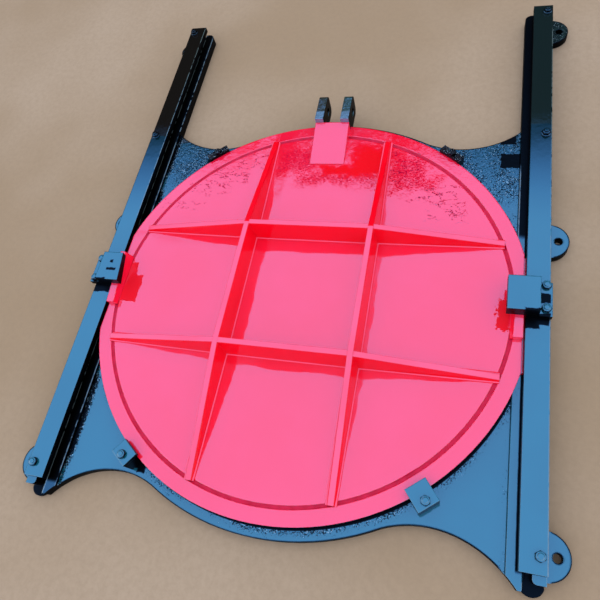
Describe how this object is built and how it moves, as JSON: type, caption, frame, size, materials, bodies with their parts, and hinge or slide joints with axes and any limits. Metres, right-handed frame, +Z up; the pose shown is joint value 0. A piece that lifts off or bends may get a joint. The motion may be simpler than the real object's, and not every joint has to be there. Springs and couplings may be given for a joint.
{
  "type": "sluice gate",
  "caption": "Round cast iron wall sluice gate: a flat frame with tall guide rails and wedge blocks, and a ribbed disc leaf that slides up to open a round waterway.",
  "frame": {"origin": "on the frame's flat back face, on the centre line, in the middle of the ring below the waterway", "axes": "+Z up, the way the leaf lifts; +Y into the wall; +X to the right seen from the front"},
  "size_m": [1.268, 0.111, 1.58],
  "materials": {
    "frame_paint": "glossy blue enamel over rough cast iron, darkening to black at the upper ends and on the sides",
    "bar_paint": "glossy blue enamel over machined flats",
    "dark_paint": "glossy blue-black enamel",
    "leaf_paint": "wet-looking glossy pinkish red enamel",
    "seat_metal": "machined bronze sealing face"
  },
  "bodies": {
    "frame": {"frame_plate": "frame_paint", "left_upright": "frame_paint", "right_upright": "frame_paint", "seat_ring": "seat_metal", "left_guide_strip": "frame_paint", "right_guide_strip": "frame_paint", "left_guide_web": "frame_paint", "right_guide_web": "frame_paint", "left_guide_bar": "bar_paint", "right_guide_bar": "bar_paint", "left_wedge_block": "bar_paint", "right_wedge_block": "bar_paint", "left_clamp_foot": "bar_paint", "right_clamp_foot": "bar_paint", "left_clamp_plate": "bar_paint", "right_clamp_plate": "bar_paint", "upper_left_anchor": "frame_paint", "upper_right_anchor": "frame_paint", "middle_left_anchor": "frame_paint", "middle_right_anchor": "frame_paint", "lower_left_anchor": "frame_paint", "lower_right_anchor": "frame_paint"},
    "leaf": {"leaf_disc": "leaf_paint", "leaf_seal_ring": "seat_metal", "left_guide_tongue": "leaf_paint", "right_guide_tongue": "leaf_paint", "left_upright_rib": "leaf_paint", "right_upright_rib": "leaf_paint", "upper_left_rib": "leaf_paint", "upper_middle_rib": "leaf_paint", "upper_right_rib": "leaf_paint", "lower_left_rib": "leaf_paint", "lower_middle_rib": "leaf_paint", "lower_right_rib": "leaf_paint", "lifting_block": "leaf_paint", "left_lifting_ear": "dark_paint", "right_lifting_ear": "dark_paint", "left_wedge_pad": "leaf_paint", "right_wedge_pad": "leaf_paint", "upper_left_lug": "dark_paint", "upper_right_lug": "dark_paint"}
  },
  "joints": [
    {"name": "leaf_lift", "type": "slide", "parent": "frame", "child": "leaf", "axis": [0, 0, 1], "range_m": [0, 1]}
  ]
}
